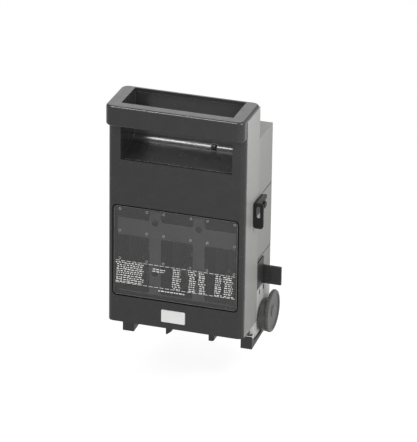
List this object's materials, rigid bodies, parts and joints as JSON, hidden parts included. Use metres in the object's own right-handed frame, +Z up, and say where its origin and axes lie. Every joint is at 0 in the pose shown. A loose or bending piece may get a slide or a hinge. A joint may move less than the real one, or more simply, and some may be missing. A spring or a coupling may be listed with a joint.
{
  "type": "fuse switch disconnector",
  "caption": "Low-voltage fuse switch disconnector with a hinged cover that has a hand grip and a clear window, on a panel-mounted base with fuse jaws and terminals.",
  "frame": {"origin": "centre of the rectangle of panel screw holes, on the plane of the mounting panel", "axes": "+Z up, +X to the right seen from the front, front of the device towards -Y"},
  "size_m": [0.1182, 0.0847, 0.2005],
  "materials": {
    "base_grey": "satin",
    "terminal_light": "satin",
    "cover_black": "satin",
    "side_grey": "satin",
    "liner_black": "satin",
    "small_black": "satin",
    "carrier_grey": "satin",
    "cap_grey": "satin",
    "chute_tan": "matt",
    "window_smoke": "clear",
    "label_white": "matt",
    "contact_copper": "silver-plated copper",
    "steel": "zinc-plated",
    "hasp_dark": "black"
  },
  "bodies": {
    "base": {"base_lower": "base_grey", "base_middle": "base_grey", "base_upper": "base_grey", "terminal_box": "terminal_light", "foot_1": "small_black", "foot_2": "small_black", "foot_3": "small_black", "foot_4": "small_black", "upper_contact_1": "contact_copper", "upper_contact_2": "contact_copper", "upper_contact_3": "contact_copper", "lower_contact_1": "contact_copper", "lower_contact_2": "contact_copper", "lower_contact_3": "contact_copper", "upper_spring_1": "steel", "upper_spring_2": "steel", "upper_spring_3": "steel", "lower_spring_1": "steel", "lower_spring_2": "steel", "lower_spring_3": "steel", "upper_bolt_1": "steel", "upper_bolt_2": "steel", "upper_bolt_3": "steel", "lower_bolt_1": "steel", "lower_bolt_2": "steel", "lower_bolt_3": "steel", "arc_chute_1": "chute_tan", "arc_chute_2": "chute_tan", "arc_chute_3": "chute_tan", "upper_terminal_cover": "base_grey", "lower_terminal_cover": "base_grey", "hinge_pin_left": "steel", "hinge_pin_right": "steel", "hasp_pin": "hasp_dark", "switch_block": "small_black", "switch_flag": "small_black", "round_cap": "cap_grey", "cap_screw": "steel"},
    "cover": {"front_cover": "cover_black", "side_wall_left": "side_grey", "side_wall_right": "side_grey", "grip_liner": "liner_black", "window": "window_smoke", "fuse_carrier": "carrier_grey", "label_plate": "label_white", "carrier_screw_1": "small_black", "carrier_screw_2": "small_black", "carrier_screw_3": "small_black", "carrier_screw_4": "small_black"},
    "hasp": {"lock_hasp": "hasp_dark"}
  },
  "joints": [
    {"name": "cover_swing", "type": "hinge", "parent": "base", "child": "cover", "pos_m": [0, -0.0445, -0.0725], "axis": [1, 0, 0], "range_deg": [0, 90]},
    {"name": "hasp_swing", "type": "hinge", "parent": "base", "child": "hasp", "pos_m": [0.0543, -0.0355, 0.033], "axis": [-1, 0, 0], "range_deg": [0, 70]}
  ]
}
